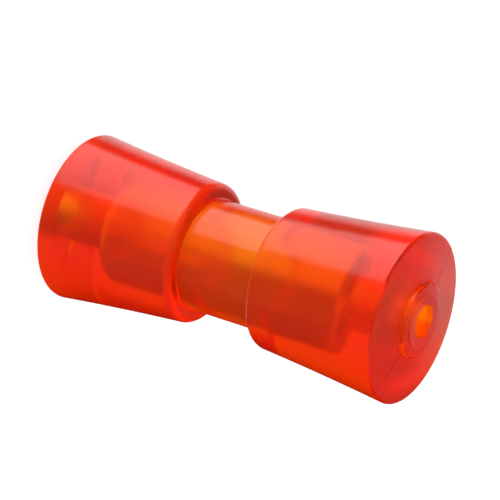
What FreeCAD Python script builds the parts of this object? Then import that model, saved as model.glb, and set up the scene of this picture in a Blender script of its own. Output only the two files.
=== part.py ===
import FreeCAD, Part

import math
import os

# Keel roller for a boat trailer, moulded in one piece of soft clear plastic.
# It stands on one end: the spindle bore runs up +Z and the lower end land lies at Z = 0.
# The mould's parting plane is the XZ plane.

# Driving dimensions in millimetres and degrees
OVERALL_LENGTH = 200.0  # over the two end lands
RIM_DIAMETER = 85.4  # big end of each cone, at the corner before rounding
RIM_EDGE_RADIUS = 3.2
SHOULDER_DIAMETER = 70.8  # small end of each cone, at the corner before rounding
SHOULDER_EDGE_RADIUS = 4.0
CONE_HOLLOW = 0.4  # how far a cone's side dips below the straight line at its middle
NECK_DIAMETER = 56.4
NECK_LENGTH = 42.4
NECK_FILLET = 1.0
CROWN_ANGLE = 6.0  # slope of the end faces, which are highest round the bore
BOSS_DIAMETER = 36.8  # round boss on each end face, at its foot
BOSS_HEIGHT = 1.9
BOSS_DRAFT = 12.0
BOSS_EDGE_RADIUS = 0.6
BOSS_FOOT_FILLET = 0.4
LAND_DIAMETER = 26.8  # flat ring on the boss that rubs on the bracket
LAND_HEIGHT = 0.5
BORE_DIAMETER = 17.0
BORE_EDGE_RADIUS = 0.4
CAVITY_DIAMETER = 33.6  # wide hollow between the two end walls
CAVITY_EDGE_RADIUS = 6.0
END_WALL = 28.5  # from an end land to the cavity
GATE_WIDTH = 10.0  # trimmed gate on the flank of the upper boss
GATE_REACH = 18.9  # from the axis to its flat
GATE_ANGLE = 10.0  # from +X, beside the parting plane
GATE_ROOT = 1.0  # how far the gate is carried down into the end face

# Heights above the roller's middle
half_length = OVERALL_LENGTH / 2
half_neck = NECK_LENGTH / 2
cavity_end = half_length - END_WALL
slope = math.tan(math.radians(CROWN_ANGLE))

# Radii
neck_r = NECK_DIAMETER / 2
shoulder_r = SHOULDER_DIAMETER / 2
shoulder_edge_r = min(SHOULDER_EDGE_RADIUS, shoulder_r - neck_r - NECK_FILLET)
rim_r = RIM_DIAMETER / 2
boss_foot_r = BOSS_DIAMETER / 2
boss_edge_r = boss_foot_r - BOSS_HEIGHT * math.tan(math.radians(BOSS_DRAFT))
land_r = LAND_DIAMETER / 2
bore_r = BORE_DIAMETER / 2
cavity_r = CAVITY_DIAMETER / 2

# The end face steps down from the land to the boss's edge, its foot and the rim
land_foot = half_length - LAND_HEIGHT
boss_edge = land_foot - (boss_edge_r - land_r) * slope
boss_foot = boss_edge - BOSS_HEIGHT
rim_top = boss_foot - (rim_r - boss_foot_r) * slope

ORIGIN = FreeCAD.Vector(0, 0, 0)
UP = FreeCAD.Vector(0, 0, 1)
SECTION_PLANE = Part.Plane(ORIGIN, FreeCAD.Vector(0, 1, 0))


def straight(low, high):
    """Straight side between two corners of the section."""
    return Part.LineSegment(low, high).toShape()


def hollow(low, high):
    """Side of a cone, dipping towards the axis in one shallow arc."""
    along = (high - low).normalize()
    inward = FreeCAD.Vector(-along.z, 0, along.x)
    middle = (low + high) * 0.5 + inward * CONE_HOLLOW
    return Part.Arc(low, middle, high).toShape()


def half_section():
    """Section of the upper half in the XZ plane, from the cavity's middle out and back."""
    # Radius and height of each corner, its rounding, and the side that leaves it
    corners = [
        (cavity_r, 0, 0, straight),
        (neck_r, 0, 0, straight),
        (neck_r, half_neck, NECK_FILLET, straight),
        (shoulder_r, half_neck, shoulder_edge_r, hollow),
        (rim_r, rim_top, RIM_EDGE_RADIUS, straight),
        (boss_foot_r, boss_foot, BOSS_FOOT_FILLET, straight),
        (boss_edge_r, boss_edge, BOSS_EDGE_RADIUS, straight),
        (land_r, land_foot, 0, straight),
        (land_r, half_length, 0, straight),
        (bore_r, half_length, BORE_EDGE_RADIUS, straight),
        (bore_r, cavity_end, 0, straight),
        (cavity_r, cavity_end, CAVITY_EDGE_RADIUS, straight),
    ]
    points = [FreeCAD.Vector(radius, 0, height) for radius, height, _, _ in corners]
    points.append(points[0])
    chain = []
    for index, (_, _, rounding, side) in enumerate(corners):
        edge = side(points[index], points[index + 1])
        if rounding:
            corner = Part.ChFi2d.FilletAPI(chain.pop(), edge, SECTION_PLANE)
            corner.perform(rounding)
            arc, before, edge = corner.result(points[index])
            chain += [before, arc]
        chain.append(edge)
    return Part.Face(Part.Wire(chain))


def gate():
    """Trimmed gate that leaves a flat on the flank of the upper boss."""
    root_r = boss_edge_r - BOSS_HEIGHT
    block = Part.makeBox(
        GATE_REACH - root_r,
        GATE_WIDTH,
        BOSS_HEIGHT + GATE_ROOT,
        FreeCAD.Vector(root_r, -GATE_WIDTH / 2, boss_foot - GATE_ROOT),
    )
    block.rotate(ORIGIN, UP, GATE_ANGLE)
    return block


def roller():
    """The whole moulding, lifted so that its lower land lies at Z = 0."""
    upper = half_section().revolve(ORIGIN, UP, 360)
    lower = upper.mirror(ORIGIN, UP)
    solid = upper.fuse([lower, gate()]).removeSplitter().Solids[0]
    solid.translate(UP * half_length)
    return solid


os.makedirs("parts", exist_ok=True)
roller().exportStep("parts/roller.step")
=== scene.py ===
import math
from types import SimpleNamespace

import bmesh
import bpy
from mathutils import Matrix, Vector


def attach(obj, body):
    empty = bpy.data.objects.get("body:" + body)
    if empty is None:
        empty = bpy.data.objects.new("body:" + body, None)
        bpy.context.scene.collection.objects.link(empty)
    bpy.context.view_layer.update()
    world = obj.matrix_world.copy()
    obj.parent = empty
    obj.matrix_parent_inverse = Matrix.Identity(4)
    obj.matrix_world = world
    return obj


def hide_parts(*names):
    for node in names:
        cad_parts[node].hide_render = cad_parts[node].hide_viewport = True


# Keel roller of soft clear orange-red plastic. It stands on its end in the frame,
# and the camera is rolled so that it lies in the picture as it does in the photograph.

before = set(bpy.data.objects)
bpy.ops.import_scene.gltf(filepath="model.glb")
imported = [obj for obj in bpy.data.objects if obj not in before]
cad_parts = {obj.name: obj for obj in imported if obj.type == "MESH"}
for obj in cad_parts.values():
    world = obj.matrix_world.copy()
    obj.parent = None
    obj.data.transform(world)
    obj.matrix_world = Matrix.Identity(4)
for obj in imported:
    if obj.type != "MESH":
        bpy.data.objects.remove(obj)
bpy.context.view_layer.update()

MM = 0.001

# Dimensions in millimetres and degrees. They are the CAD's, but for the rim's rounding,
# which is tighter here on a corner set inward, so that the rim is just as wide.
HALF_LENGTH = 100.0
RIM_R = 42.51
RIM_EDGE = 1.7
SHOULDER_R = 35.4
SHOULDER_EDGE = 4.0
CONE_HOLLOW = 0.4
NECK_R = 28.2
HALF_NECK = 21.2
NECK_FILLET = 1.0
CROWN_SLOPE = math.tan(math.radians(6))
BOSS_FOOT_R = 18.4
BOSS_HEIGHT = 1.9
BOSS_DRAFT = 12.0
BOSS_EDGE = 0.6
BOSS_FOOT_FILLET = 0.4
LAND_R = 13.4
LAND_HEIGHT = 0.5
BORE_R = 8.5
BORE_EDGE = 0.4
CAVITY_R = 16.8
CAVITY_EDGE = 6.0
CAVITY_END = 71.5
GATE_WIDTH = 10.0
GATE_REACH = 18.9
GATE_ANGLE = 10.0
GATE_ROOT = 1.0
GATE_EDGE = 0.22

BOSS_EDGE_R = BOSS_FOOT_R - BOSS_HEIGHT * math.tan(math.radians(BOSS_DRAFT))
LAND_FOOT = HALF_LENGTH - LAND_HEIGHT
BOSS_TOP = LAND_FOOT - (BOSS_EDGE_R - LAND_R) * CROWN_SLOPE
BOSS_FOOT = BOSS_TOP - BOSS_HEIGHT
RIM_TOP = BOSS_FOOT - (RIM_R - BOSS_FOOT_R) * CROWN_SLOPE

# Fineness of the mesh
SUPPORT = 0.1  # rings this far beside each rounding keep the shading of its neighbours true
ARC_STEP = 14  # most degrees of a rounding between two rings
CONE_STEPS = 28
CONE_MARGIN = 0.6  # least room between a cone's ring and the rounding beside it
NECK_STEPS = 6
END_STEPS = 9
BOSS_STEPS = 4
BORE_STEPS = 6
WALL_STEPS = 3
CAVITY_STEPS = 8
LAND_SHARES = (0.04, 0.35, 0.7)  # rings across the land, from its edge to the bore's
COLUMNS = 96  # in each half turn, between the two parting lines
SHARP_ANGLE = 34.0  # faces that meet at more than this have a true corner

# Raised parting line: distance from its middle, and the share of its height there
SEAM_STEPS = ((0.0, 1.0), (0.12, 0.8), (0.3, 0.2), (0.6, 0.0))
SEAM_HEIGHT = 0.05
SEAM_AT_FILLET = 0.7
SEAM_AT_SHOULDER = 0.9
SEAM_AT_BOSS_EDGE = 0.5
SEAM_ON_BOSS = 0.6
SEAM_FADE = 1.5  # it runs out this far inside the widest ring


def corner_arc(before, corner, after, radius):
    """Points of the rounding at a corner of the section, with a support point at each side."""
    to_start = (before - corner).normalized()
    to_end = (after - corner).normalized()
    opening = to_start.angle(to_end)
    reach = radius / math.tan(opening / 2)
    bisector = (to_start + to_end).normalized()
    centre = corner + bisector * (radius / math.sin(opening / 2))
    start = corner + to_start * reach
    end = corner + to_end * reach
    turn = math.pi - opening
    steps = max(3, math.ceil(math.degrees(turn) / ARC_STEP))
    spoke = start - centre
    side = 1 if spoke.cross(end - centre) > 0 else -1
    arc = []
    for step in range(steps + 1):
        angle = side * turn * step / steps
        cos, sin = math.cos(angle), math.sin(angle)
        arc.append(centre + Vector((spoke.x * cos - spoke.y * sin, spoke.x * sin + spoke.y * cos)))
    if (before - start).length > 3 * SUPPORT:
        arc.insert(0, start + to_start * SUPPORT)
    if (after - end).length > 3 * SUPPORT:
        arc.append(end + to_end * SUPPORT)
    return arc


def cone_side():
    """Points of the cone's hollow side, from the shoulder's corner to the rim's."""
    low = Vector((SHOULDER_R, HALF_NECK))
    high = Vector((RIM_R, RIM_TOP))
    along = (high - low).normalized()
    inward = Vector((-along.y, along.x))
    points = []
    for step in range(CONE_STEPS + 1):
        share = step / CONE_STEPS
        points.append(low.lerp(high, share) + inward * CONE_HOLLOW * 4 * share * (1 - share))
    return points


def divided(start, end, count):
    """Inner points of a straight side."""
    return [start.lerp(end, step / count) for step in range(1, count)]


def upper_section():
    """Section of the upper half from the neck's middle round to the cavity's, in millimetres.

    Each point has its radius and height above the middle, and how far the seam stands up there."""
    cone = cone_side()
    neck_middle = Vector((NECK_R, 0))
    neck_corner = Vector((NECK_R, HALF_NECK))
    shoulder = cone[0]
    rim = cone[-1]
    foot = Vector((BOSS_FOOT_R, BOSS_FOOT))
    boss = Vector((BOSS_EDGE_R, BOSS_TOP))
    land_low = Vector((LAND_R, LAND_FOOT))
    land_high = Vector((LAND_R, HALF_LENGTH))
    mouth = Vector((BORE_R, HALF_LENGTH))
    bore_end = Vector((BORE_R, CAVITY_END))
    cavity = Vector((CAVITY_R, CAVITY_END))
    cavity_middle = Vector((CAVITY_R, 0))

    section = [(neck_middle, 1.0)]

    def add(points, seam=0.0):
        section.extend((point, seam) for point in points)

    neck = corner_arc(neck_middle, neck_corner, shoulder, NECK_FILLET)
    add(divided(neck_middle, neck[0], NECK_STEPS), 1.0)
    add(neck, SEAM_AT_FILLET)
    edge = corner_arc(neck_corner, shoulder, cone[1], SHOULDER_EDGE)
    add(edge, SEAM_AT_SHOULDER)
    rim_arc = corner_arc(cone[-2], rim, foot, RIM_EDGE)
    low_end = (edge[-1] - shoulder).length + CONE_MARGIN
    high_end = (rim_arc[0] - rim).length + CONE_MARGIN
    for point in cone[1:-1]:
        if (point - shoulder).length > low_end and (point - rim).length > high_end:
            add([point], 1.0)
    widest = max(point.x for point in rim_arc)
    for point in rim_arc:
        add([point], min(1.0, (widest - point.x) / SEAM_FADE))
    foot_arc = corner_arc(rim, foot, boss, BOSS_FOOT_FILLET)
    add(divided(rim_arc[-1], foot_arc[0], END_STEPS), 1.0)
    add(foot_arc, SEAM_AT_BOSS_EDGE)
    boss_arc = corner_arc(foot, boss, land_low, BOSS_EDGE)
    add(boss_arc, SEAM_AT_BOSS_EDGE)
    add(divided(boss_arc[-1], land_low, BOSS_STEPS), SEAM_ON_BOSS)

    # There is no seam on the land and within
    add([land_low - Vector((-SUPPORT, SUPPORT * CROWN_SLOPE))])
    add([land_low, land_low.lerp(land_high, 0.5), land_high])
    mouth_arc = corner_arc(land_high, mouth, bore_end, BORE_EDGE)
    add([land_high.lerp(mouth_arc[0], share) for share in LAND_SHARES])
    add(mouth_arc)
    add(divided(mouth_arc[-1], bore_end, BORE_STEPS))
    add([bore_end + Vector((0, SUPPORT)), bore_end, bore_end + Vector((SUPPORT, 0))])
    cavity_arc = corner_arc(bore_end, cavity, cavity_middle, CAVITY_EDGE)
    add(divided(bore_end, cavity_arc[0], WALL_STEPS))
    add(cavity_arc)
    add(divided(cavity_arc[-1], cavity_middle, CAVITY_STEPS))
    add([cavity_middle])
    return section


def whole_section():
    """Closed section of the whole roller, as (radius, height, seam height, outward normal)."""
    upper = upper_section()
    lower = [(Vector((point.x, -point.y)), seam) for point, seam in reversed(upper[1:-1])]
    ring = upper + lower
    count = len(ring)
    result = []
    for index, (point, seam) in enumerate(ring):
        tangent = (ring[(index + 1) % count][0] - ring[index - 1][0]).normalized()
        result.append((point.x, point.y, seam * SEAM_HEIGHT, Vector((tangent.y, -tangent.x))))
    return result


def turned_body():
    """The closed turned form, with the mould's parting line as a fine raised seam in the XZ plane."""
    mesh = bmesh.new()
    rings = []
    for radius, height, seam, normal in whole_section():
        ring = []
        last = SEAM_STEPS[-1][0] / radius
        half_turn = [(distance / radius, share) for distance, share in SEAM_STEPS]
        half_turn += [(last + (math.pi - 2 * last) * step / COLUMNS, 0.0) for step in range(1, COLUMNS)]
        half_turn += [(math.pi - distance / radius, share) for distance, share in reversed(SEAM_STEPS[1:])]
        for start in (0.0, math.pi):
            for angle, share in half_turn:
                out = radius + normal.x * seam * share
                up = HALF_LENGTH + height + normal.y * seam * share
                spoke = Vector((math.cos(start + angle), math.sin(start + angle), 0))
                ring.append(mesh.verts.new((spoke * out + Vector((0, 0, up))) * MM))
        rings.append(ring)
    for index, ring in enumerate(rings):
        inner = rings[index - 1]
        for step, corner in enumerate(ring):
            mesh.faces.new((inner[step - 1], inner[step], corner, ring[step - 1]))
    bmesh.ops.recalc_face_normals(mesh, faces=mesh.faces)
    return mesh


def as_object(mesh, name):
    """Object made from a bmesh, which it uses up."""
    data = bpy.data.meshes.new(name)
    mesh.to_mesh(data)
    mesh.free()
    piece = bpy.data.objects.new(name, data)
    bpy.context.collection.objects.link(piece)
    return piece


def gate_block():
    """Trimmed gate on the flank of the upper boss, with its edges eased."""
    mesh = bmesh.new()
    bmesh.ops.create_cube(mesh, size=1)
    root = BOSS_EDGE_R - BOSS_HEIGHT
    low = BOSS_FOOT - GATE_ROOT
    size = Vector((GATE_REACH - root, GATE_WIDTH, BOSS_TOP - low))
    middle = Vector(((GATE_REACH + root) / 2, 0, (BOSS_TOP + low) / 2 + HALF_LENGTH))
    for corner in mesh.verts:
        corner.co = Vector(a * b for a, b in zip(corner.co, size)) + middle
    bmesh.ops.bevel(mesh, geom=mesh.edges[:], offset=GATE_EDGE, segments=3, profile=0.5, affect="EDGES")
    turn = Matrix.Rotation(math.radians(GATE_ANGLE), 4, "Z")
    bmesh.ops.transform(mesh, matrix=Matrix.Scale(MM, 4) @ turn, verts=mesh.verts)
    return as_object(mesh, "gate")


def add_solid(piece, other):
    """Joins another closed form to the piece for good."""
    union = piece.modifiers.new("union", "BOOLEAN")
    union.operation = "UNION"
    union.solver = "EXACT"
    union.object = other
    whole = bpy.data.meshes.new_from_object(piece.evaluated_get(bpy.context.evaluated_depsgraph_get()))
    piece.modifiers.clear()
    old = piece.data
    piece.data = whole
    bpy.data.meshes.remove(old)
    bpy.data.objects.remove(other)


def shade(piece):
    """Smooth faces, with sharp edges only where the section has a true corner."""
    mesh = bmesh.new()
    mesh.from_mesh(piece.data)
    for face in mesh.faces:
        face.smooth = True
    for edge in mesh.edges:
        edge.smooth = len(edge.link_faces) == 2 and edge.calc_face_angle() < math.radians(SHARP_ANGLE)
    mesh.to_mesh(piece.data)
    mesh.free()


# Material

CLEAR_TINT = (1.0, 0.92, 0.1, 1)
HAZE_TINT = (0.84, 0.03, 0.0, 1)
# The same skin tinted lighter on the end faces: painted light
HAZE_TINT_END_PAINTED_LIGHT = (0.98, 0.03, 0.0, 1)
# Dark tint for the real specks, thread and turning marks, and also for the crescent of painted shade
STAIN_AND_SHADE_TINT = (0.12, 0.01, 0.005, 1)
ABSORBED = (0.0, 46.0, 500.0)  # red, green and blue taken up in each metre
REFRACTION = 1.5

ROUGH = 0.18
ROUGH_END = 0.3
ROUGH_INSIDE = 0.3
ROUGH_INNER_END = 0.42
ROUGH_THREAD = 0.5

# Share of the hazy skin in the surface
HAZE = 0.36
HAZE_END = 0.45
HAZE_INSIDE = 0.04
HAZE_AT_SHOULDER = 0.62
HAZE_STAINED = 0.8
HAZE_FROM_WITHIN = 0.1  # share of the haze that light meets from within the plastic
# Share of dark haze in the crescent of painted shade in the cavity's upper corner
PAINTED_SHADE_CRESCENT = 0.6

# Factors between which the haze and the roughness wander
HAZE_RANGE = (0.8, 1.2)
ROUGH_RANGE = (0.9, 1.1)

# Where the look of the surface changes: soft limits, in millimetres past an edge of the form
WALL_MARGIN = 0.5
MOUTH_MARGIN = 3.0
SHOULDER_FROM = (-0.6, 0.2)
SHOULDER_TO = (2.0, 4.5)
FLANK_FROM = (-0.6, -0.3)
FLANK_TO = (0.0, 0.4)
END_FROM = (-1.0, 0.0)
INNER_END_FROM = (-9.0, -4.0)
# Where the crescent of painted shade lies in the cavity's upper corner
PAINTED_SHADE_HEIGHT = (-7.0, -4.0)
PAINTED_SHADE_RADIUS = (-6.0, -3.0)
PAINTED_SHADE_SPREAD = (0.55, 0.85)  # cosine of the angle from its middle
PAINTED_SHADE_AZIMUTH = math.radians(72)

# Marks on the skin: lengths in millimetres, and how dark each mark is
THREAD_WIDTH = (0.15, 0.45)  # to each side: dark as far as the first, gone at the second
THREAD_FROM = (14.1, 14.5)  # radius at which it sets in
THREAD_ON_SIDE = 0.3
THREAD_ON_END = 0.8
RING_PITCH = 0.95
RING_DARK = 0.4
MARK_DARK = 0.2
MARK_LIMITS = (0.36, 0.64)  # values of the pattern between which a mark deepens
SPECK_SIZE = 0.036  # in cells of the pattern
SPECK_RARITY = 0.55  # share of the cells that have none

# Scales of the patterns, in waves or cells in each metre
MARK_SCALE = 900.0
CLOUD_SCALE = 55.0
GLOSS_SCALE = 140.0
SPECK_SCALE = 110.0
GRAIN_SCALE = 1500.0
WAVE_SCALE = 70.0

# Depths of the relief, in millimetres
MARK_DEPTH = 0.03
RING_DEPTH = 0.02
GRAIN_DEPTH = 0.01
WAVE_DEPTH = 0.12


class Nodes:
    """Short names for the nodes of one tree."""

    def __init__(self, tree):
        self.tree = tree

    def add(self, kind, **settings):
        node = self.tree.nodes.new(kind)
        for name, value in settings.items():
            setattr(node, name, value)
        return node

    def put(self, socket, value):
        """Links an output to the socket, or sets a plain value."""
        if isinstance(value, bpy.types.NodeSocket):
            self.tree.links.new(value, socket)
        else:
            socket.default_value = value

    def math(self, operation, *values):
        node = self.add("ShaderNodeMath", operation=operation)
        for socket, value in zip(node.inputs, values):
            self.put(socket, value)
        return node.outputs[0]

    def joined(self, operation, values):
        """All the values, joined by one operation, one after the other."""
        result = values[0]
        for value in values[1:]:
            result = self.math(operation, result, value)
        return result

    def times(self, *values):
        return self.joined("MULTIPLY", values)

    def most(self, *values):
        return self.joined("MAXIMUM", values)

    def rest(self, share):
        """What is left of 1."""
        return self.math("SUBTRACT", 1.0, share)

    def between(self, value, low, high):
        """0 below low, 1 above high, with a soft step from one to the other."""
        node = self.add("ShaderNodeMapRange", interpolation_type="SMOOTHSTEP")
        self.put(node.inputs["Value"], value)
        node.inputs["From Min"].default_value = low
        node.inputs["From Max"].default_value = high
        return node.outputs[0]

    def past(self, length, start, low, high):
        """0 below start + low millimetres, 1 above start + high."""
        return self.between(length, (start + low) * MM, (start + high) * MM)

    def scaled(self, share, at_none, at_all):
        """at_none where share is 0, at_all where it is 1."""
        return self.math("MULTIPLY_ADD", share, at_all - at_none, at_none)

    def noise(self, place, scale, detail=2.0, rough=0.5):
        node = self.add("ShaderNodeTexNoise")
        self.put(node.inputs["Vector"], place)
        node.inputs["Scale"].default_value = scale
        node.inputs["Detail"].default_value = detail
        node.inputs["Roughness"].default_value = rough
        return node.outputs["Fac"]

    def mixed(self, share, at_none, at_all):
        """Colour between two others."""
        node = self.add("ShaderNodeMix", data_type="RGBA")
        for socket, value in zip((node.inputs[0], node.inputs[6], node.inputs[7]), (share, at_none, at_all)):
            self.put(socket, value)
        return node.outputs[2]

    def bump(self, height, depth, before=None):
        """Normal for a relief of this depth in millimetres."""
        node = self.add("ShaderNodeBump")
        node.inputs["Strength"].default_value = 1.0
        node.inputs["Distance"].default_value = depth * MM
        self.put(node.inputs["Height"], height)
        if before is not None:
            self.put(node.inputs["Normal"], before)
        return node.outputs["Normal"]


def regions(n, place):
    """Shares from 0 to 1 that tell the roller's surfaces apart, and the lengths that they come from."""
    split = n.add("ShaderNodeSeparateXYZ")
    n.put(split.inputs[0], place)
    x, y, z = split.outputs
    radius = n.math("SQRT", n.math("ADD", n.times(x, x), n.times(y, y)))
    off_middle = n.math("ABSOLUTE", n.math("SUBTRACT", z, HALF_LENGTH * MM))
    inside = n.times(
        n.math("LESS_THAN", radius, (CAVITY_R + WALL_MARGIN) * MM),
        n.math("LESS_THAN", off_middle, (HALF_LENGTH - MOUTH_MARGIN) * MM),
    )
    shoulder = n.times(
        n.past(off_middle, HALF_NECK, *SHOULDER_FROM),
        n.rest(n.past(off_middle, HALF_NECK, *SHOULDER_TO)),
        n.math("LESS_THAN", z, HALF_LENGTH * MM),
    )
    boss_flank = n.times(
        n.past(radius, BOSS_EDGE_R, *FLANK_FROM),
        n.rest(n.past(radius, BOSS_FOOT_R, *FLANK_TO)),
    )
    end = n.times(n.past(off_middle, RIM_TOP, *END_FROM), n.rest(boss_flank))
    boss = n.math("LESS_THAN", radius, (BOSS_EDGE_R + FLANK_FROM[0]) * MM)
    inner_end = n.times(n.past(off_middle, CAVITY_END, *INNER_END_FROM), inside)
    # Crescent of painted shade in the cavity's upper corner, towards one side
    azimuth = (math.cos(PAINTED_SHADE_AZIMUTH), math.sin(PAINTED_SHADE_AZIMUTH))
    towards = n.math("MULTIPLY_ADD", x, azimuth[0], n.times(y, azimuth[1]))
    painted_shade_crescent = n.times(
        inside,
        n.past(z, HALF_LENGTH + CAVITY_END, *PAINTED_SHADE_HEIGHT),
        n.past(radius, CAVITY_R, *PAINTED_SHADE_RADIUS),
        n.between(n.math("DIVIDE", towards, radius), *PAINTED_SHADE_SPREAD),
    )
    return SimpleNamespace(
        radius=radius,
        y=y,
        inside=inside,
        outside=n.rest(inside),
        lower_shoulder=shoulder,
        end=end,
        boss=boss,
        inner_end=inner_end,
        painted_shade_crescent=painted_shade_crescent,
    )


def polyurethane():
    """Clear tinted plastic: a hazy, softly glossy skin over clear depth that takes up green and blue."""
    material = bpy.data.materials.new("polyurethane")
    material.use_nodes = True
    tree = material.node_tree
    tree.nodes.clear()
    n = Nodes(tree)
    place = n.add("ShaderNodeTexCoord").outputs["Object"]
    at = regions(n, place)

    # The parting line is a fine dark thread, down to the pip at its end on the boss
    thread = n.times(
        n.rest(n.past(n.math("ABSOLUTE", at.y), 0, *THREAD_WIDTH)),
        n.past(at.radius, 0, *THREAD_FROM),
        at.outside,
        n.scaled(at.end, THREAD_ON_SIDE, THREAD_ON_END),
    )

    # Turning marks on the end faces: irregular rings, and darker even ones on the boss
    across = n.add("ShaderNodeCombineXYZ")
    n.put(across.inputs[0], at.radius)
    marks = n.between(n.noise(across.outputs[0], MARK_SCALE), *MARK_LIMITS)
    rings = n.math("SINE", n.times(at.radius, 2 * math.pi / (RING_PITCH * MM)))
    groove = n.most(n.times(n.scaled(at.boss, MARK_DARK, 0.0), marks), n.times(rings, RING_DARK, at.boss))
    groove = n.times(groove, at.end, at.outside)

    # A few dark specks lie in the skin
    cells = n.add("ShaderNodeTexVoronoi")
    n.put(cells.inputs["Vector"], place)
    cells.inputs["Scale"].default_value = SPECK_SCALE
    cell = n.add("ShaderNodeSeparateColor")
    n.put(cell.inputs[0], cells.outputs["Color"])
    speck = n.times(
        n.math("LESS_THAN", cells.outputs["Distance"], SPECK_SIZE),
        n.math("GREATER_THAN", cell.outputs[0], SPECK_RARITY),
        at.outside,
    )
    stain = n.most(speck, thread)

    # The haze is a little uneven, and thicker on the turned ends and the lower shoulder. The walls
    # of the cavity and bore are clearer, but for painted shade: a soft dark crescent in the cavity's upper
    # corner.
    haze = n.math("ADD", n.scaled(at.inside, HAZE, HAZE_INSIDE), n.times(at.end, HAZE_END - HAZE))
    haze = n.math("ADD", haze, n.times(at.lower_shoulder, HAZE_AT_SHOULDER - HAZE))
    haze = n.times(haze, n.scaled(n.noise(place, CLOUD_SCALE, detail=3.0, rough=0.6), *HAZE_RANGE))
    from_within = n.add("ShaderNodeNewGeometry").outputs["Backfacing"]
    haze = n.times(haze, n.scaled(from_within, 1.0, HAZE_FROM_WITHIN))
    # The crescent thickens the dark haze there as painted shade
    haze = n.most(haze, n.times(stain, HAZE_STAINED), n.times(at.painted_shade_crescent, PAINTED_SHADE_CRESCENT))

    rough = n.most(
        n.scaled(at.inside, ROUGH, ROUGH_INSIDE),
        n.times(at.end, ROUGH_END),
        n.times(at.inner_end, ROUGH_INNER_END),
    )
    rough = n.times(rough, n.scaled(n.noise(place, GLOSS_SCALE), *ROUGH_RANGE))
    rough = n.most(rough, n.times(thread, ROUGH_THREAD))

    # A fine grain and a slight waviness lie over the turning marks
    normal = n.bump(n.times(at.end, marks), MARK_DEPTH)
    normal = n.bump(n.times(at.end, at.boss, rings), RING_DEPTH, normal)
    normal = n.bump(n.noise(place, GRAIN_SCALE), GRAIN_DEPTH, normal)
    normal = n.bump(n.noise(place, WAVE_SCALE, detail=1.0), WAVE_DEPTH, normal)

    clear = n.add("ShaderNodeBsdfPrincipled")
    clear.inputs["Base Color"].default_value = CLEAR_TINT
    clear.inputs["Transmission Weight"].default_value = 1.0
    skin = n.add("ShaderNodeBsdfPrincipled")
    # The end faces take the lighter tint, which is painted light
    tint = n.mixed(at.end, HAZE_TINT, HAZE_TINT_END_PAINTED_LIGHT)
    # The skin darkens at the real specks, thread and turning marks, and at the crescent, which is painted
    # shade
    n.put(skin.inputs["Base Color"], n.mixed(n.most(stain, at.painted_shade_crescent, groove), tint, STAIN_AND_SHADE_TINT))
    for shader in (clear, skin):
        shader.inputs["IOR"].default_value = REFRACTION
        n.put(shader.inputs["Roughness"], rough)
        n.put(shader.inputs["Normal"], normal)
    surface = n.add("ShaderNodeMixShader")
    for socket, value in zip(surface.inputs, (haze, clear.outputs[0], skin.outputs[0])):
        n.put(socket, value)

    depth_tint = n.add("ShaderNodeVolumeAbsorption")
    densest = max(ABSORBED)
    depth_tint.inputs["Density"].default_value = densest
    depth_tint.inputs["Color"].default_value = (*(1 - each / densest for each in ABSORBED), 1)

    out = n.add("ShaderNodeOutputMaterial")
    n.put(out.inputs["Surface"], surface.outputs[0])
    n.put(out.inputs["Volume"], depth_tint.outputs[0])
    return material


roller = as_object(turned_body(), "roller_moulding")
add_solid(roller, gate_block())
shade(roller)
roller.data.materials.clear()
roller.data.materials.append(polyurethane())
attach(roller, "root")
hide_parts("roller")

# Camera and directions, in the frame of the standing roller

MIDDLE = Vector((0, 0, HALF_LENGTH * MM))
VIEW_AZIMUTH = math.radians(113.7045)
VIEW_ELEVATION = math.radians(27.7503)
VIEW_ROLL = math.radians(107.2368)
VIEW_DISTANCE = 1.37845
VIEW_AIM = Vector((0.007562, 0.003206, 0.100199))
FOCAL_LENGTH = 203.544
SENSOR_WIDTH = 36


def placed(axes, place):
    """Matrix that turns an object's own axes to these and sets it at a place."""
    return Matrix.Translation(place) @ Matrix(axes).transposed().to_4x4()


def photo_camera():
    """Camera at the photograph's viewing angle."""
    back = Vector((
        math.cos(VIEW_AZIMUTH) * math.cos(VIEW_ELEVATION),
        math.sin(VIEW_AZIMUTH) * math.cos(VIEW_ELEVATION),
        math.sin(VIEW_ELEVATION),
    ))
    level = Vector((-math.sin(VIEW_AZIMUTH), math.cos(VIEW_AZIMUTH), 0))
    right = level * math.cos(VIEW_ROLL) + back.cross(level) * math.sin(VIEW_ROLL)
    lens = bpy.data.cameras.new("camera")
    lens.lens = FOCAL_LENGTH
    lens.sensor_width = SENSOR_WIDTH
    lens.clip_start = 0.01
    camera = bpy.data.objects.new("camera", lens)
    bpy.context.collection.objects.link(camera)
    camera.matrix_world = placed((right, back.cross(right), back), VIEW_AIM + back * VIEW_DISTANCE)
    return camera


bpy.context.scene.camera = photo_camera()

# The room as the photograph has it: its up is level here, because the roller lay on its side
ROOM_UP = Vector((0.538771, 0.842452, 0))
ROOM_AWAY = Vector((0.712029, -0.455361, -0.534472))
ROOM_RIGHT = Vector((0.450268, -0.287958, 0.845186))


def room(elevation, azimuth):
    """Direction in the photographed room, with azimuth from straight away towards the right."""
    up, turn = math.radians(elevation), math.radians(azimuth)
    level = ROOM_AWAY * math.cos(turn) + ROOM_RIGHT * math.sin(turn)
    return ROOM_UP * math.sin(up) + level * math.cos(up)


def sines(angles):
    """Sines of angles in degrees."""
    return [math.sin(math.radians(angle)) for angle in angles]


# Soft light up behind the roller's left end, as two panels in one plane that overlap
BOX_TOWARDS = room(50, -46).normalized()
BOX_LEVEL = 1.68
BOX_TURN = 24  # degrees, about the direction that it lies in
BOX_DISTANCE = 0.9
BOX_PANELS = (
    # name, from and to sideways, from and to in height
    ("soft_box", (-0.27, 0.6), (-0.75, 0.36)),
    ("soft_box_middle", (0.02, 0.6), (-0.6, 0.33)),
)

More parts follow.
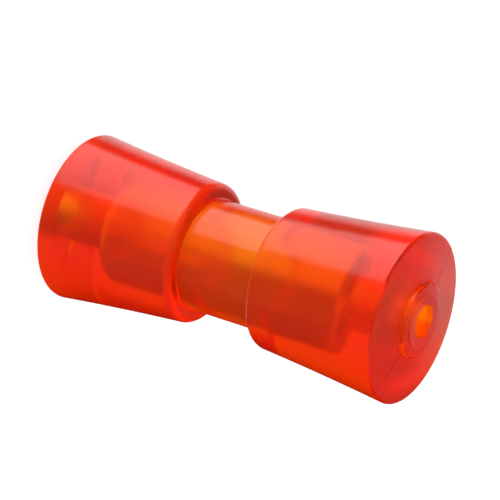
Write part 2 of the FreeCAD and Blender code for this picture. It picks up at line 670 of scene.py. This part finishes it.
# Strength of the white room, by what looks at it
SEEN_THROUGH = 1.1
SOFT_BELOW = 0.9
SOFT_ABOVE = 0.95
GLOSS_BEHIND = 0.85
GLOSS_BESIDE = 0.04

# Soft limits of what the gloss shows: degrees of height, and cosines to a direction
SWEEP_TOP = (6, 24)
SWEEP_FOOT = (-39, -28)
SWEEP_AWAY = (0.2, 0.42)
SWEEP_SIDE = (-0.12, 0.13)
SWEEP_SIDE_TOWARDS = room(0, -33)
BESIDE = (0.9, 0.985)
BESIDE_TOWARDS = room(-27, 76)
SOFT_RISE = (-0.2, 0.7)


def soft_box(name, side, height):
    """One panel of the soft light, between two places each way in its plane."""
    light = bpy.data.lights.new(name, "AREA")
    light.shape = "RECTANGLE"
    light.size = side[1] - side[0]
    light.size_y = height[1] - height[0]
    light.energy = BOX_LEVEL * light.size * light.size_y * math.pi
    lamp = bpy.data.objects.new(name, light)
    bpy.context.collection.objects.link(lamp)
    level = (ROOM_AWAY - BOX_TOWARDS * ROOM_AWAY.dot(BOX_TOWARDS)).normalized()
    along = Matrix.Rotation(math.radians(BOX_TURN), 3, BOX_TOWARDS) @ level
    across = along.cross(BOX_TOWARDS)
    place = MIDDLE + BOX_TOWARDS * BOX_DISTANCE + across * sum(side) / 2 + along * sum(height) / 2
    lamp.matrix_world = placed((across, along, BOX_TOWARDS), place)
    lamp.visible_camera = False


for panel in BOX_PANELS:
    soft_box(*panel)


def surroundings():
    """White sweep seen by the camera. What the gloss shows is white only behind the lying roller
    and low down."""
    world = bpy.data.worlds.new("room")
    bpy.context.scene.world = world
    world.cycles.sampling_method = "NONE"
    world.use_nodes = True
    n = Nodes(world.node_tree)
    world.node_tree.nodes.clear()
    place = n.add("ShaderNodeTexCoord").outputs["Generated"]

    def towards(direction):
        node = n.add("ShaderNodeVectorMath", operation="DOT_PRODUCT")
        n.put(node.inputs[0], place)
        node.inputs[1].default_value = direction
        return node.outputs["Value"]

    rise = towards(ROOM_UP)
    sweep = n.times(
        n.rest(n.between(rise, *sines(SWEEP_TOP))),
        n.between(rise, *sines(SWEEP_FOOT)),
        n.between(towards(ROOM_AWAY), *SWEEP_AWAY),
        n.between(towards(SWEEP_SIDE_TOWARDS), *SWEEP_SIDE),
    )
    beside = n.between(towards(BESIDE_TOWARDS), *BESIDE)
    gloss = n.math("ADD", n.times(sweep, GLOSS_BEHIND), n.times(beside, GLOSS_BESIDE))
    soft = n.scaled(n.between(rise, *SOFT_RISE), SOFT_BELOW, SOFT_ABOVE)
    ray = n.add("ShaderNodeLightPath").outputs

    def pick(flag, chosen, other):
        return n.math("ADD", n.times(ray[flag], chosen), n.times(n.rest(ray[flag]), other))

    # A ray through the plastic counts as a glossy one too, so the order matters
    strength = pick("Is Glossy Ray", gloss, soft)
    strength = pick("Is Transmission Ray", SEEN_THROUGH, strength)
    strength = pick("Is Camera Ray", 1.0, strength)
    light = n.add("ShaderNodeBackground")
    light.inputs["Color"].default_value = (1, 1, 1, 1)
    n.put(light.inputs["Strength"], strength)
    out = n.add("ShaderNodeOutputWorld")
    n.put(out.inputs["Surface"], light.outputs[0])


surroundings()

TABLE_SIZE = 2.5  # from its middle to each side
TABLE_DEPTH = 42.6  # millimetres below the lying roller's axis
TABLE_LIT = 1.1
FILTERED = (1.0, 0.4, 0.05, 1)  # painted light, as if it had come through the plastic
FILTERED_ALONG = (-0.108, 0.13)
FILTERED_BEYOND = (-0.08, 0.067)
SOFT_ALONG = 0.008
SOFT_BEYOND = 0.003
# Painted shadow: patches where the card's glow is dimmer
PAINTED_SHADOW = (
    # from and to along the roller, from and to beyond its middle, brightness
    (-0.12, 0.058, -0.08, 0.02, 0.3),
    (-0.12, 0.077, 0.02, 0.032, 0.0),
    (0.058, 0.077, -0.08, 0.02, 0.7),
    (-0.05, 0.05, 0.032, 0.044, 0.25),
    (-0.05, 0.05, 0.044, 0.064, 0.05),
    (-0.3, -0.05, 0.055, 0.066, 0.1),
    (-0.2, -0.11, 0.0, 0.05, 0.1),
    (0.077, 0.095, -0.03, 0.02, 0.25),
    (0.095, 0.25, -0.03, 0.075, 0.1),
)


def table_card():
    """A glowing card for the white table on which the roller lay, with the roller's own shadow painted on
    it. It is seen only through the plastic, which shows it bright behind the roller and dim in the painted
    shadow."""
    mesh = bmesh.new()
    bmesh.ops.create_grid(mesh, x_segments=1, y_segments=1, size=TABLE_SIZE)
    card = as_object(mesh, "table_card")
    across = Vector((ROOM_UP.y, -ROOM_UP.x, 0))
    card.matrix_world = placed((Vector((0, 0, 1)), across, ROOM_UP), MIDDLE - ROOM_UP * TABLE_DEPTH * MM)
    material = bpy.data.materials.new("table_card")
    material.use_nodes = True
    tree = material.node_tree
    tree.nodes.clear()
    n = Nodes(tree)
    split = n.add("ShaderNodeSeparateXYZ")
    n.put(split.inputs[0], n.add("ShaderNodeTexCoord").outputs["Object"])
    along, beyond, _ = split.outputs

    def band(value, low, high, soft):
        """1 between low and high, 0 outside them."""
        start = n.between(value, low - soft, low + soft)
        end = n.between(value, high - soft, high + soft)
        return n.math("SUBTRACT", start, end)

    def patch(along_low, along_high, beyond_low, beyond_high):
        return n.times(
            band(along, along_low, along_high, SOFT_ALONG),
            band(beyond, beyond_low, beyond_high, SOFT_BEYOND),
        )

    shadow = 0.0
    for *sides, brightness in PAINTED_SHADOW:
        shadow = n.most(shadow, n.times(patch(*sides), 1 - brightness))
    light = n.add("ShaderNodeEmission")
    # Painted filtered light: the patch where the card's glow is tinted red
    filtered = patch(*FILTERED_ALONG, *FILTERED_BEYOND)
    n.put(light.inputs["Color"], n.mixed(filtered, (1, 1, 1, 1), FILTERED))
    n.put(light.inputs["Strength"], n.scaled(shadow, TABLE_LIT, 0.0))
    out = n.add("ShaderNodeOutputMaterial")
    n.put(out.inputs["Surface"], light.outputs[0])
    card.data.materials.append(material)
    card.visible_camera = False
    card.visible_diffuse = False
    card.visible_glossy = False
    card.visible_shadow = False
    return card


table_card()

FLOOR_RADIUS = 6.0
PAPER_GREY = 0.3
PAPER_GLOW = 0.86
PAPER_ROUGH = (0.8, 0.95)
PAPER_CLOUD_SCALE = 30.0
PAPER_GRAIN_SCALE = 400.0
PAPER_DEPTH = 0.02


def floor():
    """Pale floor under the standing roller. Only the camera sees it, so that the light which
    reached the lying roller from all round still does."""
    mesh = bmesh.new()
    bmesh.ops.create_circle(mesh, cap_ends=True, segments=96, radius=FLOOR_RADIUS)
    plate = as_object(mesh, "floor")
    material = bpy.data.materials.new("floor")
    material.use_nodes = True
    tree = material.node_tree
    tree.nodes.clear()
    n = Nodes(tree)
    place = n.add("ShaderNodeTexCoord").outputs["Object"]
    paper = n.add("ShaderNodeBsdfPrincipled")
    paper.inputs["Base Color"].default_value = (PAPER_GREY, PAPER_GREY, PAPER_GREY, 1)
    paper.inputs["Specular IOR Level"].default_value = 0.0
    n.put(paper.inputs["Roughness"], n.scaled(n.noise(place, PAPER_CLOUD_SCALE), *PAPER_ROUGH))
    n.put(paper.inputs["Normal"], n.bump(n.noise(place, PAPER_GRAIN_SCALE), PAPER_DEPTH))
    paper.inputs["Emission Color"].default_value = (1, 1, 1, 1)
    paper.inputs["Emission Strength"].default_value = PAPER_GLOW
    out = n.add("ShaderNodeOutputMaterial")
    n.put(out.inputs["Surface"], paper.outputs[0])
    plate.data.materials.append(material)
    plate.visible_diffuse = False
    plate.visible_glossy = False
    plate.visible_transmission = False
    plate.visible_shadow = False
    return plate


floor()

BOUNCES = 24  # enough for light to cross the outer skin and the cavity's walls many times

scene = bpy.context.scene
scene.view_settings.view_transform = "Standard"
scene.cycles.use_denoising = True
scene.cycles.max_bounces = BOUNCES
scene.cycles.transmission_bounces = BOUNCES
scene.cycles.glossy_bounces = BOUNCES
